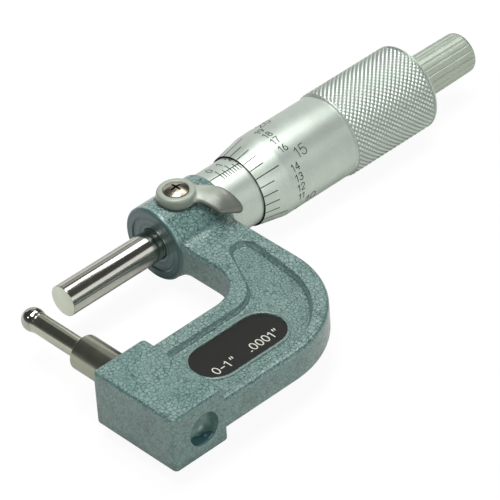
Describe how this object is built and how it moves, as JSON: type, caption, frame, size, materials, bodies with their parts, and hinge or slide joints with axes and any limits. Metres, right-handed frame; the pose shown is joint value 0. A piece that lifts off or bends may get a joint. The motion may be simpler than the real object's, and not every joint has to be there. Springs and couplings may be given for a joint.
{
  "type": "ball micrometer",
  "caption": "Outside micrometer with a ball-ended anvil pin on an offset C-frame, a graduated thimble, a ratchet knob and a spindle clamp lever, for measuring tube walls.",
  "frame": {"origin": "centre of the measuring ball, on the spindle's axis", "axes": "+X along the spindle's axis towards the ratchet knob, +Z out of the name plate side, the C-frame lies towards -Y"},
  "size_m": [0.1207, 0.0547, 0.0189],
  "materials": {
    "hammer_enamel": "hammered grey-green enamel",
    "ground_steel": "ground and lapped",
    "carbide": "lapped",
    "satin_chrome": "satin, with black graduations",
    "matte_chrome": "matte",
    "cast_nickel": "glossy cast",
    "nickel_plate": "bright nickel",
    "hardened_steel": "turned, oiled",
    "plate_enamel": "gloss black"
  },
  "bodies": {
    "frame_body": {"frame": "hammer_enamel", "anvil_pin": "ground_steel", "anvil_ball": "carbide", "bore_plug": "hammer_enamel", "inner_sleeve": "ground_steel", "adjusting_nut": "ground_steel", "outer_sleeve": "satin_chrome", "clamp_shoe": "hardened_steel", "clamp_washer": "hardened_steel", "name_plate": "plate_enamel"},
    "feed_body": {"ratchet_arbor": "hardened_steel"},
    "screw_body": {"spindle": "ground_steel", "thimble": "satin_chrome", "ratchet_base": "hardened_steel", "ratchet_screw": "nickel_plate"},
    "knob_body": {"ratchet_knob": "matte_chrome", "ratchet_crown": "hardened_steel", "ratchet_spring": "hardened_steel", "ratchet_washer": "hardened_steel"},
    "clamp_body": {"clamp_lever": "cast_nickel", "clamp_screw": "nickel_plate", "clamp_stud": "hardened_steel"}
  },
  "joints": [
    {"name": "spindle_feed", "type": "slide", "parent": "frame_body", "child": "feed_body", "axis": [1, 0, 0], "range_m": [-0.00489, 0.02051]},
    {"name": "thimble_turn", "type": "hinge", "parent": "feed_body", "child": "screw_body", "pos_m": [0, 0, 0], "axis": [1, 0, 0], "range_deg": [-2774, 11627]},
    {"name": "ratchet_turn", "type": "hinge", "parent": "screw_body", "child": "knob_body", "pos_m": [0.1, 0, 0], "axis": [1, 0, 0], "continuous": true},
    {"name": "clamp_turn", "type": "hinge", "parent": "frame_body", "child": "clamp_body", "pos_m": [0.0367, 0, 0.008], "axis": [0, 0, 1], "range_deg": [-40, 3]}
  ],
  "couplings": [
    {"joint": "thimble_turn", "follows": "spindle_feed", "rad_per_m": 9894.8}
  ]
}
